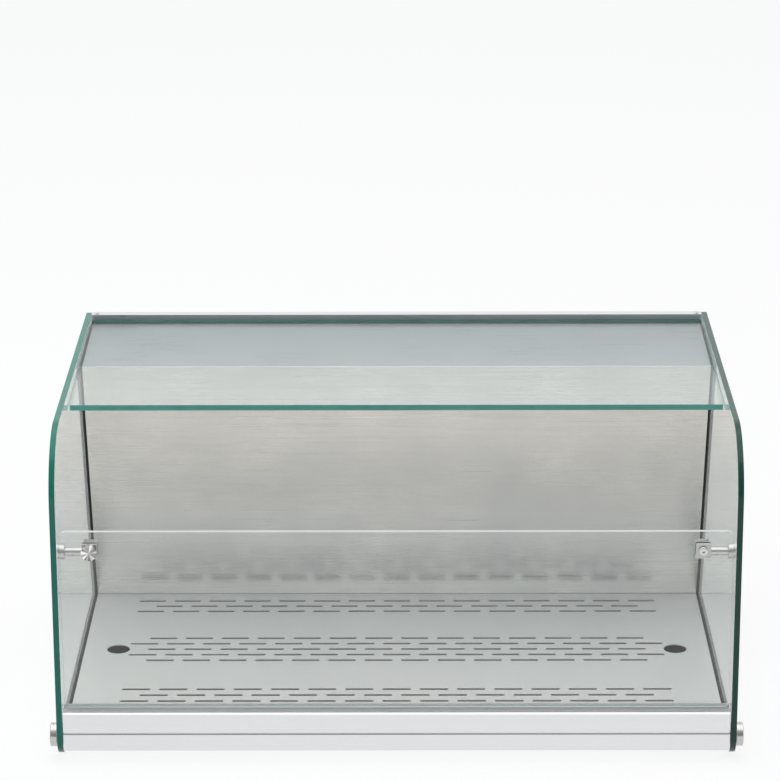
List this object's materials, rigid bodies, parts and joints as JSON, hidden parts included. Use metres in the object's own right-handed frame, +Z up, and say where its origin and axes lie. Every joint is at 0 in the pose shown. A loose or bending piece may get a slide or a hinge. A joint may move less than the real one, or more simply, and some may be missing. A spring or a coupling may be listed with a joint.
{
  "type": "refrigerated display case",
  "caption": "Countertop cooled display case: glass sides and top, swinging low front pane, slotted lift-out steel tray, leaning back wall and rear cooling housing.",
  "frame": {"origin": "centre of the footprint, on the surface that the case stands on", "axes": "+X to the customer's right, +Y to the back, +Z up; the open display side faces -Y"},
  "size_m": [0.717, 0.46, 0.3534],
  "materials": {
    "side_glass": "clear float glass with polished green edges",
    "top_glass": "tinted float glass with a teal polished edge",
    "clear_pane": "clear low front pane, polished edges",
    "silver_aluminium": "anodised, fine matt silver",
    "plain_aluminium": "mill finish",
    "galvanised_steel": "galvanised sheet",
    "brushed_steel": "stainless, brushed along X",
    "housing_steel": "stainless, fine brushed",
    "rear_steel": "stainless, brushed along X",
    "turned_steel": "turned and polished stainless steel",
    "screw_steel": "stainless screws",
    "foam": "rigid insulating foam",
    "black_rubber": "soft seal",
    "clear_nylon": "natural nylon",
    "copper": "drawn copper tube",
    "black_plastic": "moulded",
    "black_gloss_plastic": "moulded, glossy",
    "grey_plastic": "moulded buttons",
    "cable_plastic": "cable sheath",
    "black_enamel": "black enamelled shell"
  },
  "bodies": {
    "case": {"back_wall": "brushed_steel", "base_insulation": "foam", "base_pan": "galvanised_steel", "cap_washers": "black_rubber", "cold_room_foam": "foam", "compressor": "black_enamel", "compressor_grommets": "black_rubber", "compressor_shelf": "galvanised_steel", "condenser_coil": "copper", "condenser_fan_frame": "black_plastic", "condenser_fins": "plain_aluminium", "controller": "black_plastic", "evaporator_coil": "copper", "evaporator_fan_frames": "black_plastic", "evaporator_fins": "plain_aluminium", "fan_plate": "galvanised_steel", "feet": "black_rubber", "filter_drier": "copper", "foot_screws": "screw_steel", "front_profile": "silver_aluminium", "glass_sleeves": "clear_nylon", "housing_top": "housing_steel", "inner_liner": "brushed_steel", "mains_inlet": "black_plastic", "panel_screw_rails": "plain_aluminium", "profile_end_blocks": "plain_aluminium", "rail_screws": "screw_steel", "rear_glass_screws": "screw_steel", "rear_panel": "rear_steel", "rear_panel_screws": "screw_steel", "rear_top_rail": "silver_aluminium", "refrigerant_pipes": "copper", "side_frame_left": "galvanised_steel", "side_frame_right": "galvanised_steel", "side_glass_left": "side_glass", "side_glass_right": "side_glass", "side_seal_left": "black_rubber", "side_seal_right": "black_rubber", "switch_body": "black_plastic", "swivel_bushes": "turned_steel", "top_glass": "top_glass", "wiring_loom": "cable_plastic"},
    "front_pane_swing": {"front_pane": "clear_pane", "clamp_body_left": "turned_steel", "clamp_body_right": "turned_steel", "clamp_jaws": "turned_steel", "clamp_pads": "clear_nylon", "clamp_screw": "screw_steel"},
    "clamp_knob": {"clamp_knob": "turned_steel"},
    "display_tray": {"display_tray": "brushed_steel"},
    "glass_cap_left": {"glass_cap_left": "turned_steel"},
    "glass_cap_right": {"glass_cap_right": "turned_steel"},
    "evaporator_fan_rotor_left": {"evaporator_fan_rotor_left": "black_plastic"},
    "evaporator_fan_rotor_right": {"evaporator_fan_rotor_right": "black_plastic"},
    "condenser_fan_rotor": {"condenser_fan_rotor": "black_plastic"},
    "switch_rocker": {"switch_rocker": "black_gloss_plastic"},
    "button_set": {"button_set": "grey_plastic"},
    "button_up": {"button_up": "grey_plastic"},
    "button_down": {"button_down": "grey_plastic"}
  },
  "joints": [
    {"name": "front_pane_swing", "type": "hinge", "parent": "case", "child": "front_pane_swing", "pos_m": [0, -0.2012, 0.225], "axis": [1, 0, 0], "range_deg": [-90, 0]},
    {"name": "clamp_knob_turn", "type": "hinge", "parent": "front_pane_swing", "child": "clamp_knob", "pos_m": [-0.31175, -0.222, 0.231], "axis": [0, 1, 0], "range_deg": [0, 720]},
    {"name": "tray_lift", "type": "slide", "parent": "case", "child": "display_tray", "axis": [0, -0.3153, 0.949], "range_m": [0, 0.11]},
    {"name": "glass_cap_left_turn", "type": "hinge", "parent": "case", "child": "glass_cap_left", "pos_m": [-0.35, -0.208, 0.025], "axis": [1, 0, 0], "range_deg": [0, 1080]},
    {"name": "glass_cap_right_turn", "type": "hinge", "parent": "case", "child": "glass_cap_right", "pos_m": [0.35, -0.208, 0.025], "axis": [1, 0, 0], "range_deg": [-1080, 0]},
    {"name": "evaporator_fan_left_spin", "type": "hinge", "parent": "case", "child": "evaporator_fan_rotor_left", "pos_m": [-0.215, 0.168, 0.234], "axis": [0, 0, 1], "continuous": true},
    {"name": "evaporator_fan_right_spin", "type": "hinge", "parent": "case", "child": "evaporator_fan_rotor_right", "pos_m": [-0.055, 0.168, 0.234], "axis": [0, 0, 1], "continuous": true},
    {"name": "condenser_fan_spin", "type": "hinge", "parent": "case", "child": "condenser_fan_rotor", "pos_m": [0.252, 0.18, 0.242], "axis": [0, 1, 0], "continuous": true},
    {"name": "switch_rock", "type": "hinge", "parent": "case", "child": "switch_rocker", "pos_m": [0.298, 0.2246, 0.094], "axis": [1, 0, 0], "range_deg": [-16, 0]},
    {"name": "button_set_press", "type": "slide", "parent": "case", "child": "button_set", "axis": [0, -1, 0], "range_m": [0, 0.0005], "stiffness_N_per_m": 400},
    {"name": "button_up_press", "type": "slide", "parent": "case", "child": "button_up", "axis": [0, -1, 0], "range_m": [0, 0.0005], "stiffness_N_per_m": 400},
    {"name": "button_down_press", "type": "slide", "parent": "case", "child": "button_down", "axis": [0, -1, 0], "range_m": [0, 0.0005], "stiffness_N_per_m": 400}
  ]
}
